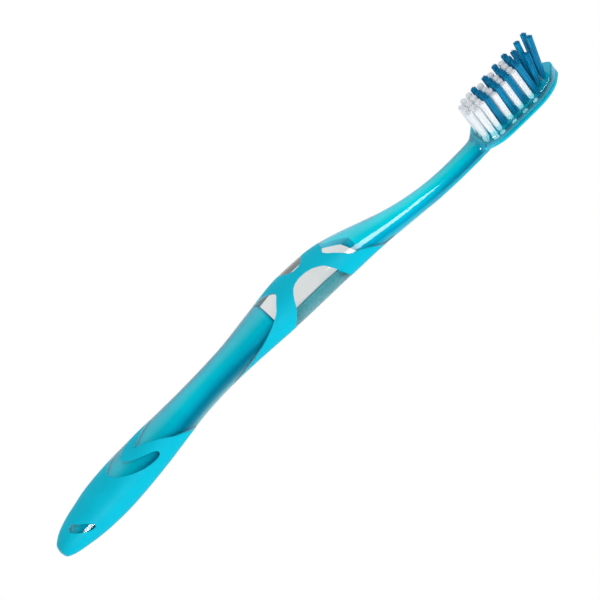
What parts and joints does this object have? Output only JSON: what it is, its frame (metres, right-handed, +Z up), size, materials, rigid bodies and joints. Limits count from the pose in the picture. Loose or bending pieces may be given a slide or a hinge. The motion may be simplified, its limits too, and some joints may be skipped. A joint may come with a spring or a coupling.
{
  "type": "manual toothbrush",
  "caption": "Manual toothbrush with a clear two-tone handle, soft wrapped grips, a slim neck and an oval head of round tufts with a raised tip.",
  "frame": {"origin": "centre of the overall length and width, on the plane the brush rests on when it lies on its back", "axes": "+X along the brush from the tail to the toe of the head, +Y across it, +Z up, the way the bristles point"},
  "size_m": [0.1922, 0.0158, 0.0204],
  "materials": {
    "clear_plastic": "clear gloss",
    "tinted_core": "see-through tinted gloss",
    "tinted_neck": "see-through tinted gloss",
    "soft_grip": "satin",
    "white_bristle": "fine filaments",
    "blue_bristle": "fine filaments",
    "anchor_metal": "plain"
  },
  "bodies": {
    "root": {"clear_body": "clear_plastic", "handle_core": "tinted_core", "neck_core": "tinted_neck", "grip_web": "soft_grip", "tail_grip": "soft_grip", "head_pad": "soft_grip", "tuft_r01_c1": "white_bristle", "tuft_r01_c2": "white_bristle", "tuft_r01_c3": "white_bristle", "tuft_r02_c1": "white_bristle", "tuft_r02_c2": "white_bristle", "tuft_r02_c3": "white_bristle", "tuft_r02_c4": "white_bristle", "tuft_r03_c1": "white_bristle", "tuft_r03_c2": "white_bristle", "tuft_r03_c3": "white_bristle", "tuft_r03_c4": "white_bristle", "tuft_r04_c1": "blue_bristle", "tuft_r04_c2": "blue_bristle", "tuft_r04_c3": "blue_bristle", "tuft_r04_c4": "blue_bristle", "tuft_r05_c1": "white_bristle", "tuft_r05_c2": "white_bristle", "tuft_r05_c3": "white_bristle", "tuft_r05_c4": "white_bristle", "tuft_r06_c1": "blue_bristle", "tuft_r06_c2": "blue_bristle", "tuft_r06_c3": "blue_bristle", "tuft_r06_c4": "blue_bristle", "tuft_r07_c1": "white_bristle", "tuft_r07_c2": "white_bristle", "tuft_r07_c3": "white_bristle", "tuft_r07_c4": "white_bristle", "tuft_r08_c1": "blue_bristle", "tuft_r08_c2": "blue_bristle", "tuft_r08_c3": "blue_bristle", "tuft_r08_c4": "blue_bristle", "tuft_r09_c1": "white_bristle", "tuft_r09_c2": "white_bristle", "tuft_r09_c3": "white_bristle", "tuft_r09_c4": "white_bristle", "tuft_r10_c1": "blue_bristle", "tuft_r10_c2": "blue_bristle", "tuft_r10_c3": "blue_bristle", "tuft_r10_c4": "blue_bristle", "tuft_r11_c1": "blue_bristle", "tuft_r11_c2": "blue_bristle", "tuft_r11_c3": "blue_bristle", "tuft_r12_c1": "blue_bristle", "tuft_r12_c2": "blue_bristle", "tuft_anchors": "anchor_metal"}
  },
  "joints": []
}
